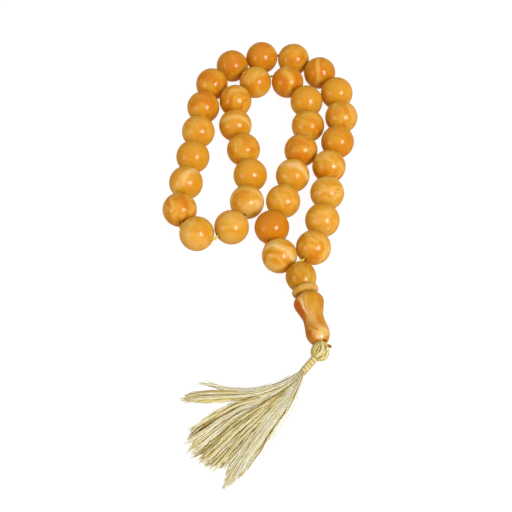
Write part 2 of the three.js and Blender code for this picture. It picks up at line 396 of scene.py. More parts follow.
@dataclass(frozen=True)
class MarbledResin:
    """Polyester resin cast as imitation amber: two colours stirred together, then turned and polished.

    The eye sees soft cream clouds drawn out into streaks within a clear orange, under a hard gloss.

    Args:
        name: The material's name.
        palette: (level, colour) stops from the clear resin to the cream.
        cloud_width: Width of a cloud, in millimetres.
        glow_depth: How deep red light spreads under the surface, in millimetres.
        patches: Clouds at known places, each laid over the ones before it.
    """

    name: str
    palette: tuple[tuple[float, str], ...]
    cloud_width: float = 3.2
    glow_depth: float = 5.0
    patches: tuple[Patch, ...] = ()

    def material(self) -> bpy.types.Material:
        """Builds the node material, which reads the attributes grain (mm) and figure (cloud, band, level)."""
        material, tree = new_material(self.name)
        grain = add_node(tree, "ShaderNodeAttribute", attribute_name="grain").outputs["Vector"]
        figure = add_node(tree, "ShaderNodeAttribute", attribute_name="figure").outputs["Vector"]
        parts = add_node(tree, "ShaderNodeSeparateXYZ", {0: figure}).outputs
        stirred = self._stirred(tree, grain)
        level = self._level(tree, stirred, parts)
        ramp = add_node(tree, "ShaderNodeValToRGB", {"Fac": level})
        fill_ramp(ramp, self.palette)
        colour = ramp.outputs["Color"]
        for patch in self.patches:
            colour = self._patched(tree, stirred, colour, patch)
        shader = self._shader(tree, grain, colour)
        add_node(tree, "ShaderNodeOutputMaterial", {"Surface": shader.outputs[0]})
        return material

    def _stirred(self, tree: bpy.types.NodeTree, grain: bpy.types.NodeSocket) -> bpy.types.NodeSocket:
        """Pushes the grain's coordinates about by a slow noise, as stirring does."""
        # A push changes over two clouds' widths, and is at most about one width long.
        slow = add_node(
            tree,
            "ShaderNodeTexNoise",
            {"Vector": grain, "Scale": 0.5 / self.cloud_width, "Detail": 1.0, "Roughness": 0.4},
        )
        centred = add_node(
            tree, "ShaderNodeVectorMath", {0: slow.outputs["Color"], 1: (0.5, 0.5, 0.5)}, operation="SUBTRACT"
        )
        pushed = add_node(
            tree,
            "ShaderNodeVectorMath",
            {0: centred.outputs[0], 1: (2 * self.cloud_width,) * 3, 2: grain},
            operation="MULTIPLY_ADD",
        )
        return pushed.outputs[0]

    def _level(
        self, tree: bpy.types.NodeTree, stirred: bpy.types.NodeSocket, parts: Sequence
    ) -> bpy.types.NodeSocket:
        """Adds up how light the resin is: its own level, the clouds, the fine streaks and the band."""
        drawn_out = add_node(tree, "ShaderNodeMapping", {"Vector": stirred, "Scale": (1.0, 0.3, 0.6)})
        # A cloud is about cloud_width across, and the streaks in it are 4.5 times finer.
        swings = []
        for fineness, roughness, edges, swing, blend in (
            (1.0, 0.5, (0.36, 0.66), (-0.22, 0.28), "SMOOTHSTEP"),
            (4.5, 0.6, (0.3, 0.7), (-0.12, 0.12), "LINEAR"),
        ):
            pattern = add_node(
                tree,
                "ShaderNodeTexNoise",
                {
                    "Vector": drawn_out.outputs[0],
                    "Scale": fineness / self.cloud_width,
                    "Detail": 3.0,
                    "Roughness": roughness,
                },
            )
            lightness = add_node(
                tree,
                "ShaderNodeMapRange",
                {
                    "Value": pattern.outputs["Fac"],
                    "From Min": edges[0],
                    "From Max": edges[1],
                    "To Min": swing[0],
                    "To Max": swing[1],
                },
                interpolation_type=blend,
            )
            swings.append(lightness.outputs[0])
        both = add_node(tree, "ShaderNodeMath", {0: swings[0], 1: swings[1]}, operation="ADD")
        scaled = add_node(
            tree,
            "ShaderNodeMath",
            {0: both.outputs[0], 1: parts["X"], 2: parts["Z"]},
            operation="MULTIPLY_ADD",
        )
        across = add_node(tree, "ShaderNodeSeparateXYZ", {0: stirred})
        beside = add_node(tree, "ShaderNodeMath", {0: across.outputs["X"]}, operation="ABSOLUTE")
        band = add_node(
            tree,
            "ShaderNodeMapRange",
            {"Value": beside.outputs[0], "From Min": 0.4, "From Max": 1.9, "To Min": 0.34, "To Max": 0.0},
            interpolation_type="SMOOTHSTEP",
        )
        banded = add_node(
            tree,
            "ShaderNodeMath",
            {0: band.outputs[0], 1: parts["Y"], 2: scaled.outputs[0]},
            operation="MULTIPLY_ADD",
        )
        return banded.outputs[0]

    def _patched(
        self,
        tree: bpy.types.NodeTree,
        stirred: bpy.types.NodeSocket,
        colour: bpy.types.NodeSocket,
        patch: Patch,
    ) -> bpy.types.NodeSocket:
        """Mixes one patch into the colour, by its distance from the patch's middle in patch sizes."""
        local = add_node(
            tree,
            "ShaderNodeMapping",
            {
                "Vector": stirred,
                "Location": patch.centre,
                "Rotation": (0, 0, math.radians(patch.turn)),
                "Scale": patch.size,
            },
            vector_type="TEXTURE",
        )
        reach = add_node(tree, "ShaderNodeVectorMath", {0: local.outputs[0]}, operation="LENGTH")
        share = add_node(
            tree,
            "ShaderNodeMapRange",
            {
                "Value": reach.outputs["Value"],
                "From Min": 0.35,
                "From Max": 1.15,
                "To Min": patch.strength,
                "To Max": 0.0,
            },
            interpolation_type="SMOOTHSTEP",
        )
        mixed = add_node(
            tree,
            "ShaderNodeMix",
            {"Factor": share.outputs[0], 6: colour, 7: linear(patch.colour)},
            data_type="RGBA",
        )
        return mixed.outputs[2]

    def _shader(
        self, tree: bpy.types.NodeTree, grain: bpy.types.NodeSocket, colour: bpy.types.NodeSocket
    ) -> bpy.types.Node:
        """Makes the polished, slightly translucent surface."""
        # Polishing leaves faint 2 mm ripples and lets the gloss wander a little.
        ripple = add_node(tree, "ShaderNodeTexNoise", {"Vector": grain, "Scale": 0.5, "Detail": 2.0})
        gloss = add_node(
            tree, "ShaderNodeMapRange", {"Value": ripple.outputs["Fac"], "To Min": 0.09, "To Max": 0.13}
        )
        bump = add_node(
            tree, "ShaderNodeBump", {"Height": ripple.outputs["Fac"], "Strength": 0.05, "Distance": 0.1 * MM}
        )
        return add_node(
            tree,
            "ShaderNodeBsdfPrincipled",
            {
                "Base Color": colour,
                "Roughness": gloss.outputs[0],
                "IOR": 1.54,
                "Specular IOR Level": 0.24,
                "Subsurface Weight": 1.0,
                "Subsurface Radius": (1.0, 0.26, 0.05),
                "Subsurface Scale": self.glow_depth * MM,
                "Normal": bump.outputs[0],
            },
        )


@dataclass(frozen=True)
class SpunThread:
    """Rayon or nylon filament twisted into thread: a satin sheen, and light crowns over valleys darkened with
    painted shade.
    """

    name: str
    palette: tuple[tuple[float, str], ...]
    lay_length: float
    plies: int
    roughness: float = 0.5
    sheen: float = 0.25

    def material(self) -> bpy.types.Material:
        """Builds the node material, which reads the attribute strand (shade, run in mm, turn)."""
        material, tree = new_material(self.name)
        strand = add_node(tree, "ShaderNodeAttribute", attribute_name="strand").outputs["Vector"]
        parts = add_node(tree, "ShaderNodeSeparateXYZ", {0: strand}).outputs
        # The dye takes unevenly along a thread, in stretches of about 6 mm.
        slow = add_node(tree, "ShaderNodeMapping", {"Vector": strand, "Scale": (40.0, 1 / 6, 0.0)})
        dye = add_node(tree, "ShaderNodeTexNoise", {"Vector": slow.outputs[0], "Scale": 1.0, "Detail": 2.0})
        tone = add_node(
            tree,
            "ShaderNodeMapRange",
            {
                "Value": dye.outputs["Fac"],
                "From Min": 0.25,
                "From Max": 0.75,
                "To Min": -0.22,
                "To Max": 0.22,
            },
        )
        shade = add_node(tree, "ShaderNodeMath", {0: parts["X"], 1: tone.outputs[0]}, operation="ADD")
        ramp = add_node(tree, "ShaderNodeValToRGB", {"Fac": shade.outputs[0]})
        fill_ramp(ramp, self.palette)
        ply = self._plies(tree, parts)
        # Painted shade: the valleys between the plies are darkened in the colour, and the crowns keep the
        # full colour.
        painted_valley_shade = add_node(tree, "ShaderNodeMapRange", {"Value": ply, "To Min": 0.8, "To Max": 1.0})
        colour = add_node(
            tree,
            "ShaderNodeMix",
            {"Factor": 1.0, 6: ramp.outputs["Color"], 7: painted_valley_shade.outputs[0]},
            data_type="RGBA",
            blend_type="MULTIPLY",
        )
        bump = add_node(tree, "ShaderNodeBump", {"Height": ply, "Strength": 0.5, "Distance": 0.04 * MM})
        shader = add_node(
            tree,
            "ShaderNodeBsdfPrincipled",
            {
                "Base Color": colour.outputs[2],
                "Roughness": self.roughness,
                "IOR": 1.5,
                "Specular IOR Level": 0.35,
                "Subsurface Weight": 0.3,
                "Subsurface Radius": (1.0, 0.8, 0.5),
                "Subsurface Scale": 0.4 * MM,
                "Sheen Weight": self.sheen,
                "Sheen Roughness": 0.4,
                "Normal": bump.outputs[0],
            },
        )
        add_node(tree, "ShaderNodeOutputMaterial", {"Surface": shader.outputs[0]})
        return material

    def _plies(self, tree: bpy.types.NodeTree, parts: Sequence) -> bpy.types.NodeSocket:
        """Draws the plies as slanted ridges round the thread, from 0 in a valley to 1 on a crown."""
        run = add_node(tree, "ShaderNodeMath", {0: parts["Y"], 1: 1 / self.lay_length}, operation="MULTIPLY")
        slant = add_node(tree, "ShaderNodeMath", {0: parts["Z"], 1: run.outputs[0]}, operation="SUBTRACT")
        angle = add_node(
            tree, "ShaderNodeMath", {0: slant.outputs[0], 1: math.pi * self.plies}, operation="MULTIPLY"
        )
        wave = add_node(tree, "ShaderNodeMath", {0: angle.outputs[0]}, operation="COSINE")
        return add_node(tree, "ShaderNodeMath", {0: wave.outputs[0]}, operation="ABSOLUTE").outputs[0]


@dataclass(frozen=True)
class MeltedNylon:
    """Nylon held to a flame: a scorched, glassy bead, darker where it burned."""

    name: str = "Melted nylon, flame sealed"

    def material(self) -> bpy.types.Material:
        """Builds the node material on Object coordinates."""
        material, tree = new_material(self.name)
        place = add_node(tree, "ShaderNodeTexCoord").outputs["Object"]
        # Scorch marks are about 0.5 mm wide.
        scorch = add_node(tree, "ShaderNodeTexNoise", {"Vector": place, "Scale": 2000.0, "Detail": 2.0})
        ramp = add_node(tree, "ShaderNodeValToRGB", {"Fac": scorch.outputs["Fac"]})
        fill_ramp(ramp, ((0.3, "#7A3206"), (0.5, "#B45C10"), (0.7, "#D08A28")))
        shader = add_node(
            tree,
            "ShaderNodeBsdfPrincipled",
            {
                "Base Color": ramp.outputs["Color"],
                "Roughness": 0.25,
                "IOR": 1.53,
                "Subsurface Weight": 0.2,
                "Subsurface Scale": 0.5 * MM,
            },
        )
        add_node(tree, "ShaderNodeOutputMaterial", {"Surface": shader.outputs[0]})
        return material


class Figure(Enum):
    """How the cream was stirred into a bead, as (cloud strength, band strength)."""

    PLAIN = (0.25, 0.0)
    CLOUD = (0.6, 0.0)
    SWIRL = (1.0, 0.0)
    BAND = (0.35, 1.0)
    STREAKED_BAND = (0.9, 0.9)


# ---- Beads ----


@dataclass(frozen=True)
class Stirring:
    """One bead's own figure.

    Args:
        figure: The kind of figure.
        turn: The direction of its streaks in degrees, seen from the viewer's side.
        shift: How far its band lies from the bead's middle, in millimetres.
        level: How light its resin is, from 0 to 1.
    """

    figure: Figure
    turn: float
    shift: float
    level: float


def viewer_frame(along: Vector) -> Matrix:
    """Makes the turn from the frame's directions to right, along and towards the viewer, for a cast piece."""
    right = along.cross(TO_VIEWER).normalized()
    return Matrix((right, along, right.cross(along)))


@dataclass
class Beads:
    """The 33 beads, each turned round with a straight bore that opens into a countersink."""

    bore: float = 1.7
    mouth: float = 2.3
    countersink: float = 0.4
    corner: float = 0.12
    segments: int = 64
    arc_steps: int = 36
    grain_spacing: float = 40.0  # between one bead's place in the noise and the next one's
    # From the first bead, beside the knob, round to the last.
    stirrings: tuple[Stirring, ...] = (
        Stirring(Figure.SWIRL, 30, 0, 0.54),
        Stirring(Figure.CLOUD, 80, 0, 0.54),
        Stirring(Figure.STREAKED_BAND, 95, 2.6, 0.61),
        Stirring(Figure.SWIRL, 60, 0, 0.46),
        Stirring(Figure.PLAIN, 90, 0, 0.39),
        Stirring(Figure.CLOUD, 10, 0, 0.50),
        Stirring(Figure.PLAIN, 0, 0, 0.50),
        Stirring(Figure.BAND, 0, -0.8, 0.31),
        Stirring(Figure.CLOUD, -45, 0, 0.46),
        Stirring(Figure.PLAIN, 5, 0, 0.35),
        Stirring(Figure.CLOUD, 5, 0, 0.37),
        Stirring(Figure.CLOUD, 50, 0, 0.35),
        Stirring(Figure.CLOUD, 60, 0, 0.35),
        Stirring(Figure.CLOUD, 15, 0, 0.50),
        Stirring(Figure.PLAIN, 90, 0, 0.46),
        Stirring(Figure.BAND, -50, 0.8, 0.50),
        Stirring(Figure.SWIRL, 0, 0, 0.46),
        Stirring(Figure.CLOUD, 40, 0, 0.60),
        Stirring(Figure.PLAIN, 80, 0, 0.61),
        Stirring(Figure.SWIRL, 85, 0, 0.61),
        Stirring(Figure.PLAIN, 75, 0, 0.46),
        Stirring(Figure.CLOUD, 50, 0, 0.48),
        Stirring(Figure.BAND, 85, -1.0, 0.42),
        Stirring(Figure.SWIRL, -50, 0, 0.42),
        Stirring(Figure.CLOUD, -20, 0, 0.50),
        Stirring(Figure.BAND, 0, 0.4, 0.31),
        Stirring(Figure.PLAIN, 0, 0, 0.48),
        Stirring(Figure.CLOUD, 70, 0, 0.46),
        Stirring(Figure.CLOUD, 75, 0, 0.42),
        Stirring(Figure.BAND, 60, 0.5, 0.54),
        Stirring(Figure.CLOUD, 10, 0, 0.54),
        Stirring(Figure.PLAIN, 45, 0, 0.23),
        Stirring(Figure.STREAKED_BAND, 70, -1.2, 0.54),
    )

    def build(self, material: bpy.types.Material) -> None:
        """Makes every bead on its bore's axis."""
        for i, stirring in enumerate(self.stirrings):
            node = f"bead_{i + 1:02d}"
            axis, centre = joint_axis(f"{node}_spin"), joint_place(f"{node}_spin")
            low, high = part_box(node)
            skin = spun(self._outline((high.z - low.z) / 2 / MM), self.segments, self.corner)
            bead = finished(f"{node}_resin", skin, turned_to(axis, centre), material)
            self._dress(bead, centre, stirring, self.grain_spacing * i)
            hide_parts(node)
            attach(bead, node)

    def _outline(self, radius: float) -> list[tuple[float, float]]:
        """Draws half of the bead's section: the bore, the countersinks and the round."""
        top = math.sqrt(radius**2 - (self.mouth / 2) ** 2)
        tilt = math.asin(top / radius)
        angles = [tilt - 2 * tilt * i / self.arc_steps for i in range(self.arc_steps + 1)]
        bore = [(self.bore / 2, side * (top - self.countersink)) for side in (-1, 1)]
        return bore + [(radius * math.cos(angle), radius * math.sin(angle)) for angle in angles]

    @staticmethod
    def _dress(bead: bpy.types.Object, centre: Vector, stirring: Stirring, apart: float) -> None:
        """Gives a bead its own figure: the grain's direction, and a place of its own in the noise."""
        turn = Matrix.Rotation(math.radians(-stirring.turn), 3, "Z") @ viewer_frame(Vector((0, 1, 0)))
        away = Vector((-stirring.shift, apart, 0))
        set_vectors(bead, "grain", lambda point: turn @ (point / MM - centre) + away)
        cloud, band = stirring.figure.value
        set_vectors(bead, "figure", lambda point: Vector((cloud, band, stirring.level)))


# ---- Imame ----


@dataclass
class Imame:
    """The knob, the collar and the long body that close the strand, each turned and bored through."""

    bore: float = 2.8
    corner: float = 0.15
    segments: int = 72
    arc_steps: int = 40
    knob_radius: float = 5.15
    knob_crown: float = 4.75
    knob_base: float = 4.5
    knob_foot_radius: float = 3.4
    collar_radius: float = 4.5
    collar_thickness: float = 2.4
    pocket_radius: float = 1.9
    pocket_depth: float = 3.0
    body_outline: tuple[tuple[float, float], ...] = ((2.7, 0), (3.9, 3), (3.5, 9), (5.05, 15), (3.0, 18))

    def build(self, knob: bpy.types.Material, collar: bpy.types.Material, body: bpy.types.Material) -> None:
        """Makes the three pieces on the imame's axis."""
        self._piece("imame_knob", "knob_spin", self._knob(), knob, (0.7, 0.0, 0.45))
        self._piece("imame_collar", "collar_spin", self._collar(), collar, (0.7, 0.0, 0.5))
        self._piece("imame_body", "body_spin", self._body(), body, (0.5, 0.0, 0.5))

    def _piece(
        self,
        node: str,
        joint: str,
        outline: Sequence[tuple[float, float]],
        material: bpy.types.Material,
        figure: tuple[float, float, float],
    ) -> None:
        """Spins one piece, with its Z towards the beads, and dresses it."""
        axis, place = -joint_axis(joint), joint_place(joint)
        skin = spun(outline, self.segments, self.corner)
        piece = finished(f"{node}_resin", skin, turned_to(axis, place), material)
        turn = viewer_frame(axis)
        set_vectors(piece, "grain", lambda point: turn @ (point / MM - place))
        set_vectors(piece, "figure", lambda point: Vector(figure))
        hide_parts(node)
        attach(piece, node)

    def _knob(self) -> list[tuple[float, float]]:
        """Draws the knob: a round crown towards the beads and a fuller base, cut flat at the collar."""
        lowest = -math.acos(self.knob_foot_radius / self.knob_radius)
        highest = math.acos(self.bore / 2 / self.knob_radius)
        outline = [(self.bore / 2, -self.knob_base)]
        for i in range(self.arc_steps + 1):
            angle = lowest + (highest - lowest) * i / self.arc_steps
            height = self.knob_crown if angle > 0 else self.knob_base / math.sin(-lowest)
            outline.append((self.knob_radius * math.cos(angle), height * math.sin(angle)))
        return outline

    def _collar(self) -> list[tuple[float, float]]:
        """Draws the collar: a flat ring with a half-round rim."""
        half = self.collar_thickness / 2
        steps = self.arc_steps // 2
        angles = [math.pi * (i / steps - 0.5) for i in range(steps + 1)]
        rim = [(self.collar_radius - half + half * math.cos(a), half * math.sin(a)) for a in angles]
        return [(self.bore / 2, half), (self.bore / 2, -half), *rim]

    def _body(self) -> list[tuple[float, float]]:
        """Draws the body from its foot to its shoulder, with the knot's pocket in the foot."""
        points = [Vector((radius, height, 0)) for radius, height in self.body_outline]
        top = self.body_outline[-1][1]
        inside = [
            (self.bore / 2, top),
            (self.bore / 2, self.pocket_depth),
            (self.pocket_radius, self.pocket_depth),
            (self.pocket_radius, 0),
        ]
        return inside + [(point.x, point.y) for point in smooth_line(points, 56)]


# ---- String ----


@dataclass
class NylonString:
    """The one string through every bead, both ends down the imame and knotted in its foot."""

    radius: float = 0.4
    knot_radius: float = 0.36  # the string is pulled thinner in the knot and the tail
    tail_radius: float = 0.34
    plies: int = 3
    run_offset: float = 0.5
    bead_mouth: float = 1.15
    knob_top: float = 4.57
    throat_rise: float = 0.9
    body_start: float = 7.2
    foot: float = 25.2
    end_depth: float = 2.7
    knot_depth: float = 1.2
    knot_reach: float = 0.62
    knot_lobe: float = 0.45
    tail_reach: float = 2.7
    tail_drop: float = 2.1
    melted_radius: float = 0.5
    melted_neck: float = 1.2
    melted_dent: float = 0.16
    lay_length: float = 2.6

    def __post_init__(self) -> None:
        """Finds the middle of the knob, the imame's axis and the direction across it."""
        self.knob = joint_place("knob_spin")
        self.axis = joint_axis("knob_spin")
        self.across = self.axis.cross(UP).normalized()

    def build(self, nylon: bpy.types.Material, melted: bpy.types.Material) -> None:
        """Makes the string, its knot with the tail, and the tail's melted end."""
        bm = thread_mesh()
        self._lay(bm, self._route(), 1400, Thread(sides=12, steps=1500), self.radius, 0.5)
        string = finished("string_cord_nylon", bm, Matrix.Scale(MM, 4), nylon)
        self._keep(string, "string_cord")
        bm = thread_mesh()
        self._lay(bm, self._knot(), 180, Thread(sides=10, steps=90), self.knot_radius, 0.4)
        self._lay(bm, self._tail(), 40, Thread(sides=10, steps=24), self.tail_radius, 0.4)
        knot = finished("string_knot_nylon", bm, Matrix.Scale(MM, 4), nylon)
        self._keep(knot, "string_knot")
        end = finished("string_melted_end", self._drop(), self._at(self._tail()[-1]), melted)
        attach(end, "string")

    def _lay(
        self,
        bm: bmesh.types.BMesh,
        points: Sequence[Vector],
        curve_steps: int,
        thread: Thread,
        radius: float,
        shade: float,
    ) -> None:
        """Lays a stretch of the string along a smooth curve.

        Args:
            bm: The mesh that it is added to.
            points: The points that the curve goes through.
            curve_steps: How finely the curve is drawn.
            thread: The straight tube that is bent along it.
            radius: The stretch's radius.
            shade: How light it is, from 0 to 1.
        """
        line = evenly(smooth_line(points, curve_steps), thread.steps)
        thread.lay(bm, line, lambda share: radius, shade, self.plies, self.lay_length)

    def _at(self, place: Vector) -> Matrix:
        """Puts a piece, made about its own origin, at a place without turning it."""
        return Matrix.Scale(MM, 4) @ Matrix.Translation(place)

    def _keep(self, piece: bpy.types.Object, node: str) -> None:
        """Puts a piece on the string's body in place of a node."""
        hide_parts(node)
        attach(piece, "string")

    def _on_axis(self, reach: float, side: float = 0.0) -> Vector:
        """Gives a point of the imame's axis, reach from the knob's middle and side off it."""
        return self.knob + self.axis * reach + self.across * side

    def _route(self) -> list[Vector]:
        """Lists the string's points: up the imame, through the last bead to the first, and down."""
        throat = -self.knob_top - self.throat_rise
        reaches = (self.foot - self.end_depth, self.body_start, -self.knob_top, throat)
        up = [self._on_axis(reach, self.run_offset) for reach in reaches]
        down = [self._on_axis(reach, -self.run_offset) for reach in reversed(reaches)]
        beads = []
        for i in range(len(Beads.stirrings), 0, -1):
            centre, axis = joint_place(f"bead_{i:02d}_spin"), joint_axis(f"bead_{i:02d}_spin")
            low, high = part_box(f"bead_{i:02d}")
            half = math.sqrt(((high.z - low.z) / 2 / MM) ** 2 - self.bead_mouth**2)
            beads += [centre + axis * half, centre - axis * half]
        return up + beads + down

    def _knot(self) -> list[Vector]:
        """Draws a tight overhand knot, which is a trefoil pulled to the size of its pocket."""
        middle = self._on_axis(self.foot - self.knot_depth)
        over = self.across.cross(self.axis)
        points = []
        steps = 36
        for i in range(steps + 1):
            angle = math.tau * i / steps
            ring = (1 + self.knot_lobe * math.cos(3 * angle)) * self.knot_reach
            across = self.across * (ring * math.cos(2 * angle)) + over * (ring * math.sin(2 * angle))
            points.append(middle + across + self.axis * (self.knot_lobe * math.sin(3 * angle)))
        return points

    def _tail(self) -> list[Vector]:
        """Draws the tail from the knot out between the foot and the tassel's head."""
        return [
            self._on_axis(self.foot - self.knot_depth),
            self._on_axis(self.foot + self.radius, -self.tail_reach / 2),
            self._on_axis(self.foot + self.tail_drop, -self.tail_reach),
        ]

    def _drop(self) -> bmesh.types.BMesh:
        """Makes the melted end: a dented drop that runs thinner back along the tail."""
        tail = self._tail()
        inwards = (tail[-2] - tail[-1]).normalized()
        bm = bmesh.new()
        bmesh.ops.create_icosphere(bm, subdivisions=4, radius=self.melted_radius)
        for vertex in bm.verts:
            vertex.co *= 1 + self.melted_dent * noise(vertex.co * 2.5 + Vector((SEED, 0, 0)))
            vertex.co += inwards * (self.melted_neck * max(vertex.co.dot(inwards), 0.0))
        bmesh.ops.smooth_vert(
            bm, verts=bm.verts, factor=0.5, use_axis_x=True, use_axis_y=True, use_axis_z=True
        )
        return bm


# ---- Tassel ----


@dataclass(frozen=True)
class Lock:
    """One lock of the skirt, seen from above.

    Args:
        name: The lock's number in the frame.
        upper: (share of the skirt's length, bearing in degrees) pairs along its upper edge.
        tips: The same over its tips, from the upper edge to the lower one.
        lower: The same along its lower edge, from the neck outwards.
        tufts: How many tufts it parts into.
        threads: Threads in a tuft.
        radius: Radius of a thread.
        shade: How light its threads are, from 0 to 1.
        floss: How many fine fibres stray out of its sides.
    """

    name: str
    upper: tuple[tuple[float, float], ...]
    tips: tuple[tuple[float, float], ...]
    lower: tuple[tuple[float, float], ...]
    tufts: int
    threads: int
    radius: float
    shade: float
    floss: int


@dataclass
class Tassel:
    """The tassel: threads folded over a ball, wound tight at the neck, and spread out in four locks."""

    head_radius: float = 3.0
    neck_radius: float = 0.85
    binding_radius: float = 1.3
    winding_radius: float = 0.19
    foot_bearing: float = -95.0
    skirt_length: float = 46.0
    skirt_gap: float = 0.3
    kink: float = 0.16
    head_wrap: float = 0.5  # from the core to the outside of the head's threads
    # The head's layers, from inside: threads, lift over the core, and the darkest and lightest shade. The
    # inner layer is painted darker, as painted shade under the outer layer.
    head_layers: tuple[tuple[int, float, float, float], ...] = ((30, 0.1, 0.1, 0.45), (26, 0.28, 0.3, 0.85))
    plies: int = 3
    head_lay_length: float = 1.6
    winding_lay_length: float = 1.2
    # The winding's passes: turns, how far the middle stands out, shade, and sway along the neck.
    winding_passes: tuple[tuple[int, float, float, float], ...] = ((17, 0.0, 0.35, 0.0), (5, 0.14, 0.8, 0.32))
    # Along a lock, as (share of its length, value): its height, and a thread's width.
    pile: tuple[tuple[float, float], ...] = ((0, 1.9), (0.3, 2.1), (0.8, 1.3), (1, 0.6))
    taper: tuple[tuple[float, float], ...] = ((0, 0.7), (0.2, 1), (0.92, 1), (1, 0.6))
    locks: tuple[Lock, ...] = (
        Lock(
            name="skirt_lock_1",
            upper=((0.05, 196), (0.16, 205), (0.25, 203), (0.5, 192), (0.69, 182.5)),
            tips=((0.69, 182.5), (0.73, 185), (0.62, 189.5)),
            lower=((0.05, 208), (0.16, 211), (0.25, 208), (0.5, 194.5), (0.62, 189.5)),
            tufts=4,
            threads=7,
            radius=0.13,
            shade=0.72,
            floss=16,
        ),
        Lock(
            name="skirt_lock_2",
            upper=((0.05, 214), (0.16, 214), (0.25, 210), (0.5, 196.5), (0.63, 191.5), (0.84, 190)),
            tips=((0.84, 190), (0.9, 192), (0.89, 194), (0.75, 197)),
            lower=((0.05, 221), (0.25, 215), (0.5, 203.5), (0.63, 200.5), (0.75, 197)),
            tufts=8,
            threads=6,
            radius=0.17,
            shade=0.58,
            floss=26,
        ),
        Lock(
            name="skirt_lock_3",
            upper=((0.05, 227), (0.25, 217.5), (0.5, 206.5), (0.66, 206.5), (0.87, 208.5)),
            tips=((0.87, 208.5), (0.94, 214), (0.98, 219), (0.96, 224), (0.98, 231), (0.91, 233.5)),
            lower=((0.05, 240), (0.3, 236), (0.6, 234), (0.91, 233.5)),
            tufts=34,
            threads=8,
            radius=0.19,
            shade=0.52,
            floss=26,
        ),
        Lock(
            name="skirt_lock_4",
            upper=((0.05, 242), (0.3, 236), (0.6, 233.5), (0.91, 235)),
            tips=((0.91, 235), (0.99, 236), (1.0, 239.5), (0.94, 241.7), (0.86, 242.3)),
            lower=(
                (0.05, 262),
                (0.13, 256),
                (0.21, 254.4),
                (0.3, 251),
                (0.4, 247.5),
                (0.5, 245.8),
                (0.64, 244),
                (0.76, 242.8),
                (0.86, 242.3),
            ),
            tufts=20,
            threads=8,
            radius=0.19,
            shade=0.54,
            floss=14,
        ),
    )
    strand: Thread = field(init=False)

    def __post_init__(self) -> None:
        """Finds the head, the end of the neck and the direction from one to the other."""
        self.head = joint_place("tassel_swing")
        low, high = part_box("tassel_head")
        self.head.z = high.z / MM - self.head_radius
        self.neck_end = joint_place("skirt_bend")
        self.neck_end.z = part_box("neck_binding")[0].z / MM + self.binding_radius
        self.axis = (self.neck_end - self.head).normalized()
        self.neck_reach = (self.neck_end - self.head).length
        foot_bearing = math.radians(self.foot_bearing)
        self.foot_axis = Vector((math.cos(foot_bearing), math.sin(foot_bearing), 0))
        self.side = self.axis.cross(UP).normalized()
        self.over = self.side.cross(self.axis)
        self.strand = Thread(sides=4, steps=16)

    def build(self, thread: bpy.types.Material) -> None:
        """Makes the head's core and threads, the neck's winding and the four locks."""
        rng = random.Random(SEED)
        self._head(thread, rng)
        self._winding(thread)
        for lock in self.locks:
            self._lock(lock, thread, rng)

    def _around(self, reach: float, angle: float, out: float) -> Vector:
        """Gives a point round the tassel's axis, reach from the middle of the head."""
        aside = self.side * math.cos(angle) + self.over * math.sin(angle)
        return self.head + self.axis * reach + aside * out

    def _off_axis(self, place: Vector) -> float:
        """Gives a place's distance from the tassel's axis."""
        return (place - self.head - self.axis * (place - self.head).dot(self.axis)).length

    def _head(self, thread: bpy.types.Material, rng: random.Random) -> None:
        """Lays two layers of threads from the imame's foot over the ball and on into the neck."""
        core_radius = self.head_radius - self.head_wrap
        bm = thread_mesh()
        bmesh.ops.create_uvsphere(
            bm, u_segments=32, v_segments=20, radius=core_radius, matrix=Matrix.Translation(self.head)
        )
        layer = bm.verts.layers.float_vector["strand"]
        # The core is painted dark, as painted shade seen between the head's threads.
        for vertex in bm.verts:
            vertex[layer] = (0.1, (vertex.co - self.head).dot(self.axis), 0.0)
        long_thread = Thread(sides=8, steps=36)
        for count, lift, darkest, lightest in self.head_layers:
            # A thread fills most of its share of the way round.
            share_filled = 0.92 * math.pi / count
            for i in range(count):
                start = math.tau * (i + rng.uniform(-0.2, 0.2)) / count
                line = self._head_line(start, core_radius + lift, rng)
                widths = [min(max(self._off_axis(point) * share_filled, 0.12), 0.32) for point in line]
                # The inner layer's darker range is painted shade under the outer layer.
                shade = rng.uniform(darkest, lightest)
                long_thread.lay(
                    bm,
                    line,
                    lambda at, widths=widths: widths[round(at * (len(widths) - 1))],
                    shade,
                    self.plies,
                    self.head_lay_length,
                )
        head = finished("tassel_head_threads", bm, Matrix.Scale(MM, 4), thread)
        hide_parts("tassel_head")
        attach(head, "tassel")

    def _head_line(self, start: float, out: float, rng: random.Random) -> list[Vector]:
        """Draws one thread of the head, which leaves along the imame and turns into the neck.

        Args:
            start: The angle round the axis at which it lies.
            out: Its distance from the middle of the ball.
            rng: The source of its sway.

        Returns:
            Evenly spaced points.
        """
        sway, lean, phase = rng.uniform(0.04, 0.16), rng.uniform(-0.1, 0.3), rng.uniform(0, math.tau)
        first, last = 0.3, math.pi - math.asin(self.neck_radius / out)
        points = []
        for step in range(25):
            turn = first + (last - first) * step / 24
            angle = start + sway * math.sin(3.5 * turn + phase) + lean * (turn / math.pi - 0.5)
            share = turn / math.pi
            ahead = (self.foot_axis * (1 - share) + self.axis * share).normalized()
            side = ahead.cross(UP).normalized()
            reach, wide, high = -math.cos(turn), math.sin(turn), math.sin(turn)
            # The side by the foot is blunter than a ball.
            if turn < math.pi / 2:
                reach, wide, high = 1.12 * reach, wide**0.7, high**0.35
            around = side * (math.cos(angle) * wide) + side.cross(ahead) * (math.sin(angle) * high)
            points.append(self.head + (ahead * reach + around) * out)
        inside = self.neck_radius - 0.15
        angle = start + lean / 2
        points += [self._around(self.neck_reach * share, angle, inside) for share in (0.6, 0.8, 1.0)]
        return evenly(smooth_line(points, 90), 36)

    def _winding(self, thread: bpy.types.Material) -> None:
        """Winds a thread round the neck in close turns, with a second, looser pass over it."""
        bm = thread_mesh()
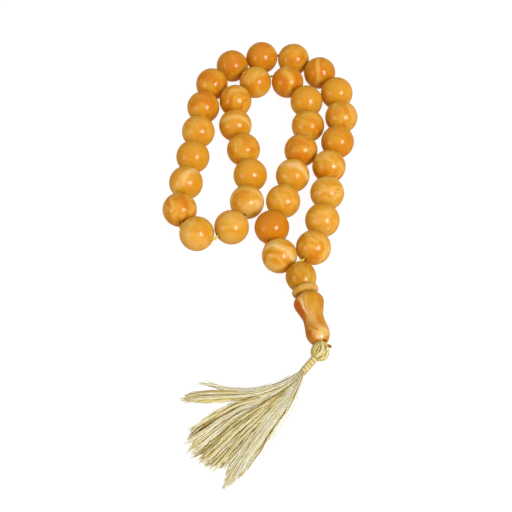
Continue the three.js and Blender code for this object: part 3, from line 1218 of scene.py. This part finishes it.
        # The winding starts where the head's ball is as wide as it is.
        start = math.sqrt(self.head_radius**2 - self.binding_radius**2)
        for turns, lift, shade, sway in self.winding_passes:
            points = []
            for i in range(turns * 12 + 1):
                share, angle = i / (turns * 12), math.tau * i / 12
                reach = start + (self.neck_reach - 0.3 - start) * share
                out = self.binding_radius - self.winding_radius + lift * math.sin(math.pi * share)
                points.append(self._around(reach + sway * math.sin(angle), angle, out))
            steps = turns * 14
            Thread(sides=8, steps=steps).lay(
                bm,
                evenly(points, steps),
                lambda at: self.winding_radius,
                shade,
                self.plies,
                self.winding_lay_length,
            )
        winding = finished("tassel_neck_winding", bm, Matrix.Scale(MM, 4), thread)
        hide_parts("neck_binding")
        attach(winding, "tassel")

    def _lock(self, lock: Lock, thread: bpy.types.Material, rng: random.Random) -> None:
        """Lays one lock, tuft by tuft, from inside the neck out over the table."""
        bm = thread_mesh()
        for tuft in range(lock.tufts):
            middle = (tuft + rng.uniform(0.2, 0.8)) / lock.tufts
            drift, wave = rng.uniform(-0.22, 0.22), rng.uniform(-0.03, 0.03)
            layer, cut = rng.random(), rng.uniform(0.93, 1.0)
            tone = rng.uniform(-0.08, 0.08)
            for _ in range(lock.threads):
                share = middle + rng.gauss(0, 0.5) / lock.tufts
                line = self._strand_line(
                    lock,
                    min(max(share, 0.0), 1.0),
                    drift + rng.uniform(-0.1, 0.1),
                    wave + rng.uniform(-0.02, 0.02),
                    min(max(layer + rng.uniform(-0.3, 0.3), 0.0), 1.0),
                    cut + rng.uniform(-0.05, 0.02),
                    rng,
                )
                # Painted shade: threads low in the lock are darker and high ones lighter, and more than a
                # quarter of the threads are made darker at random to stand in for the shade in the gaps
                # between threads.
                shade = lock.shade + tone + 0.2 * (layer - 0.5)
                shade += rng.uniform(0.0, 0.4) if rng.random() < 0.72 else -rng.uniform(0.1, 0.5)
                width = lock.radius * rng.uniform(0.8, 1.15)
                self.strand.lay(bm, line, lambda at, width=width: width * between(self.taper, at), shade)
        for _ in range(lock.floss):
            aside = rng.uniform(0.0, 0.45)
            share, cut = rng.choice((-aside, 1 + aside)), rng.uniform(0.5, 0.8)
            line = self._strand_line(lock, share, rng.uniform(-0.2, 0.2), 0.04, rng.random(), cut, rng)
            self.strand.lay(bm, line, lambda at: 0.07, 1.0)
        piece = finished(f"tassel_lock_{lock.name[-1]}", bm, Matrix.Scale(MM, 4), thread)
        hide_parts(lock.name)
        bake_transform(piece)

    def _strand_line(
        self,
        lock: Lock,
        share: float,
        drift: float,
        wave: float,
        layer: float,
        cut: float,
        rng: random.Random,
    ) -> list[Vector]:
        """Draws the middle of one thread of a lock.

        Args:
            lock: The lock that it is in.
            share: Where it lies between the lock's upper edge, 0, and its lower edge, 1.
            drift: How much of the lock's width it crosses on its way out.
            wave: How much of the lock's width it sways.
            layer: Its height in the lock, from 0 at the table to 1 on top.
            cut: Its length as a share of the lock's length there.
            rng: The source of its kinks.

        Returns:
            Evenly spaced points.
        """
        tips = lock.tips
        place = min(max(share, 0.0), 1.0) * (len(tips) - 1)
        cell = min(int(place), len(tips) - 2)
        reach = tips[cell][0] + (tips[cell + 1][0] - tips[cell][0]) * (place - cell)
        root = self.neck_end + Vector((self.axis.x, self.axis.y, 0)).normalized() * self.skirt_gap
        phase = rng.uniform(0, math.tau)
        points = []
        for step in range(1, 17):
            at = step / 16
            out = 0.05 + (reach * cut - 0.05) * at
            here = share + drift * (at - 0.5) * math.sin(math.pi * at) + wave * math.sin(7 * at + phase)
            here = min(max(here, min(share, -0.02)), max(share, 1.02))
            upper, lower = between(lock.upper, out), between(lock.lower, out)
            bearing = math.radians(upper + (lower - upper) * here)
            flat = root + Vector((math.cos(bearing), math.sin(bearing), 0)) * (out * self.skirt_length)
            kink = rng.gauss(0, self.kink) * min(1.0, 3 * at)
            flat += Vector((-math.sin(bearing), math.cos(bearing), 0)) * kink
            lift = 0.2 + layer * between(self.pile, at) + 0.12 * math.sin(9 * at + 2 * phase) * (1 - at)
            middle = between(((0, self.neck_end.z), (0.18, lift)), at)
            points.append(Vector((flat.x, flat.y, max(middle + (lift - middle) * at, lock.radius + 0.03))))
        # Inside the neck the thread keeps within the bundle.
        lateral = (points[0] - self.neck_end).dot(self.side)
        aside = self.side * min(max(lateral, -0.8), 0.8)
        above = self.over * ((layer - 0.5) * 1.5)
        inner = [self.neck_end + self.axis * ahead + aside + above for ahead in (-2.5, 0.0)]
        return evenly(smooth_line(inner + points, 100), self.strand.steps)


# ---- Studio ----


@dataclass(frozen=True)
class Softbox:
    """A round softbox.

    Args:
        name: Its name.
        bearing: Degrees to the right of the viewer's side.
        elevation: Degrees above the table.
        reach: How far away it is, in metres.
        width: Its diameter, in metres.
        radiance: How bright its front is, where the white table is 1.
    """

    name: str
    bearing: float
    elevation: float
    reach: float
    width: float
    radiance: float

    def build(self) -> None:
        """Hangs the softbox, facing the strand."""
        light = bpy.data.lights.new(self.name, "AREA")
        light.shape = "DISK"
        light.size = self.width
        # A flat lamp gives off pi times its radiance for each unit of its area.
        light.energy = self.radiance * math.pi * math.pi * (self.width / 2) ** 2
        bearing, elevation = math.radians(self.bearing), math.radians(self.elevation)
        level = math.cos(elevation)
        away = Vector((math.sin(bearing) * level, -math.cos(bearing) * level, math.sin(elevation)))
        lamp = bpy.data.objects.new(self.name, light)
        lamp.location = away * self.reach
        lamp.rotation_mode = "QUATERNION"
        lamp.rotation_quaternion = away.to_track_quat("Z", "Y")
        bpy.context.scene.collection.objects.link(lamp)


@dataclass
class Studio:
    """A white table in a light tent, two softboxes and the camera."""

    table_width: float = 6.0
    table_drop: float = 0.05  # below the strand's lowest point, in millimetres
    table_glow: float = 0.93
    table_light: float = 0.45
    table_tint: str = "#FFD8A0"
    tent_glow: float = 0.3
    open_top_glow: float = 0.72
    # Millimetres, as the target and the lens are.
    camera_distance: float = 388.7
    camera_target: Vector = field(default_factory=lambda: Vector((-2.56, -8.92, 6.0)))
    lens: float = 80.93
    softboxes: tuple[Softbox, ...] = (
        Softbox("key_softbox", 43.0, 41.0, 1.2, 0.56, 15.5),
        Softbox("fill_softbox", -64.0, 22.0, 1.2, 0.6, 3.6),
    )

    def build(self) -> None:
        """Sets up the table, the tent, the lights and the camera."""
        self._camera()
        self._table()
        self._tent()
        for softbox in self.softboxes:
            softbox.build()
        bpy.context.scene.view_settings.view_transform = "Standard"

    def _camera(self) -> None:
        """Places the camera at the viewer's side."""
        data = bpy.data.cameras.new("camera")
        data.lens = self.lens
        data.sensor_width = 36.0
        camera = bpy.data.objects.new("camera", data)
        camera.location = (self.camera_target + TO_VIEWER * self.camera_distance) * MM
        camera.rotation_mode = "QUATERNION"
        camera.rotation_quaternion = TO_VIEWER.to_track_quat("Z", "Y")
        bpy.context.scene.collection.objects.link(camera)
        bpy.context.scene.camera = camera

    def _table(self) -> None:
        """Lays a sheet of white acrylic, faintly lit from below, so that shadows stay pale."""
        bm = bmesh.new()
        bmesh.ops.create_grid(bm, x_segments=8, y_segments=8, size=self.table_width / 2)
        bmesh.ops.translate(bm, verts=bm.verts, vec=(0, 0, -self.table_drop * MM))
        mesh = bpy.data.meshes.new("table")
        bm.to_mesh(mesh)
        bm.free()
        table = bpy.data.objects.new("table", mesh)
        bpy.context.scene.collection.objects.link(table)
        material, tree = new_material("White acrylic, sanded")
        eye = add_node(tree, "ShaderNodeLightPath").outputs["Is Camera Ray"]
        seen = add_node(
            tree, "ShaderNodeMapRange", {"Value": eye, "To Min": self.table_light, "To Max": self.table_glow}
        )
        glow = add_node(
            tree,
            "ShaderNodeMix",
            {"Factor": eye, 6: linear(self.table_tint), 7: linear("#FFFFFF")},
            data_type="RGBA",
        )
        shader = add_node(
            tree,
            "ShaderNodeBsdfPrincipled",
            {
                "Base Color": linear("#707070"),
                "Roughness": 0.9,
                "Specular IOR Level": 0.1,
                "Emission Color": glow.outputs[2],
                "Emission Strength": seen.outputs[0],
            },
        )
        add_node(tree, "ShaderNodeOutputMaterial", {"Surface": shader.outputs[0]})
        mesh.materials.append(material)

    def _tent(self) -> None:
        """Lights the world as a tent: white sides and a dimmer, open top."""
        world = bpy.data.worlds.new("tent")
        bpy.context.scene.world = world
        world.use_nodes = True
        tree = world.node_tree
        tree.nodes.clear()
        direction = add_node(tree, "ShaderNodeTexCoord").outputs["Generated"]
        height = add_node(tree, "ShaderNodeSeparateXYZ", {0: direction}).outputs["Z"]
        glow = add_node(
            tree,
            "ShaderNodeMapRange",
            {
                "Value": height,
                "From Min": math.sin(math.radians(30)),
                "From Max": math.sin(math.radians(55)),
                "To Min": self.tent_glow,
                "To Max": self.open_top_glow,
            },
            interpolation_type="SMOOTHSTEP",
        )
        light = add_node(
            tree, "ShaderNodeBackground", {"Color": linear("#FFFFFF"), "Strength": glow.outputs[0]}
        )
        add_node(tree, "ShaderNodeOutputWorld", {"Surface": light.outputs[0]})


# ---- The finishes of this strand ----

BEAD_RESIN = MarbledResin(
    "Marbled polyester resin, polished",
    ((0.0, "#BE670C"), (0.25, "#CB8214"), (0.5, "#D39A28"), (0.75, "#DBAC50"), (1.0, "#E6BF7E")),
)
KNOB_RESIN = MarbledResin(
    "Marbled polyester resin, honey brown",
    ((0.0, "#B46E08"), (0.3, "#C08412"), (0.55, "#CA9628"), (0.8, "#D2A846"), (1.0, "#DCBC6C")),
    glow_depth=1.6,
)
COLLAR_RESIN = MarbledResin(
    "Marbled polyester resin, cream",
    ((0.0, "#B87E1C"), (0.3, "#C49234"), (0.55, "#CCA250"), (0.8, "#D4B272"), (1.0, "#DEC492")),
    glow_depth=1.6,
)
BODY_RESIN = MarbledResin(
    "Marbled polyester resin, layered",
    ((0.0, "#C06A08"), (0.3, "#CA8018"), (0.55, "#D09432"), (0.8, "#D8A856"), (1.0, "#E0BE7E")),
    glow_depth=0.8,
    patches=(
        Patch((1.0, 15.2, 4), (2.6, 2.6, 6), 0, "#CA8E0C", 0.9),
        Patch((3.9, 13.6, 2), (1.9, 3.6, 5), 0, "#C07C0C", 0.85),
        Patch((1.2, 3.2, 3), (3.4, 2.4, 6), 0, "#DEBC74", 0.9),
        Patch((0.6, 8.6, 3), (1.9, 3.6, 6), -10, "#DBAE66", 0.8),
        Patch((-4.2, 13.4, 2), (3.3, 8.0, 6), 10, "#C25E00", 1.0),
        Patch((-2.9, 9.4, 2), (1.2, 2.8, 5), 16, "#BC6C08", 0.95),
        Patch((-1.5, 12.8, 4), (0.45, 5.0, 6), 17, "#DEBE84", 0.95),
        Patch((-0.5, 13.2, 4), (0.28, 3.8, 6), 18, "#DCB474", 0.75),
        Patch((-3.3, 4.4, 1), (1.5, 5.4, 5), 0, "#BA6C08", 0.95),
        Patch((0.4, 1.2, 3), (2.8, 0.9, 6), 0, "#DEBE84", 0.9),
        Patch((-0.2, 4.6, 3), (1.2, 0.9, 5), -30, "#CA8414", 1.0),
    ),
)
STRING_NYLON = SpunThread(
    "Nylon multifilament, dyed yellow",
    ((0.2, "#D8AC20"), (0.5, "#ECCB3C"), (0.8, "#F6E06A")),
    lay_length=2.6,
    plies=3,
    roughness=0.4,
)
TASSEL_THREAD = SpunThread(
    "Rayon tassel thread, ecru",
    ((0.0, "#8E7228"), (0.25, "#C8AE58"), (0.5, "#E4D18A"), (0.75, "#F0E2AE"), (1.0, "#F8F0D6")),
    lay_length=1.4,
    plies=2,
)


def main() -> None:
    """Builds the strand piece by piece."""
    logging.basicConfig(level=logging.INFO, format="%(message)s")
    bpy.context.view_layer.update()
    Studio().build()
    LOG.info("studio set")
    Beads().build(BEAD_RESIN.material())
    Imame().build(KNOB_RESIN.material(), COLLAR_RESIN.material(), BODY_RESIN.material())
    NylonString().build(STRING_NYLON.material(), MeltedNylon().material())
    Tassel().build(TASSEL_THREAD.material())


if __name__ == "__main__":
    main()
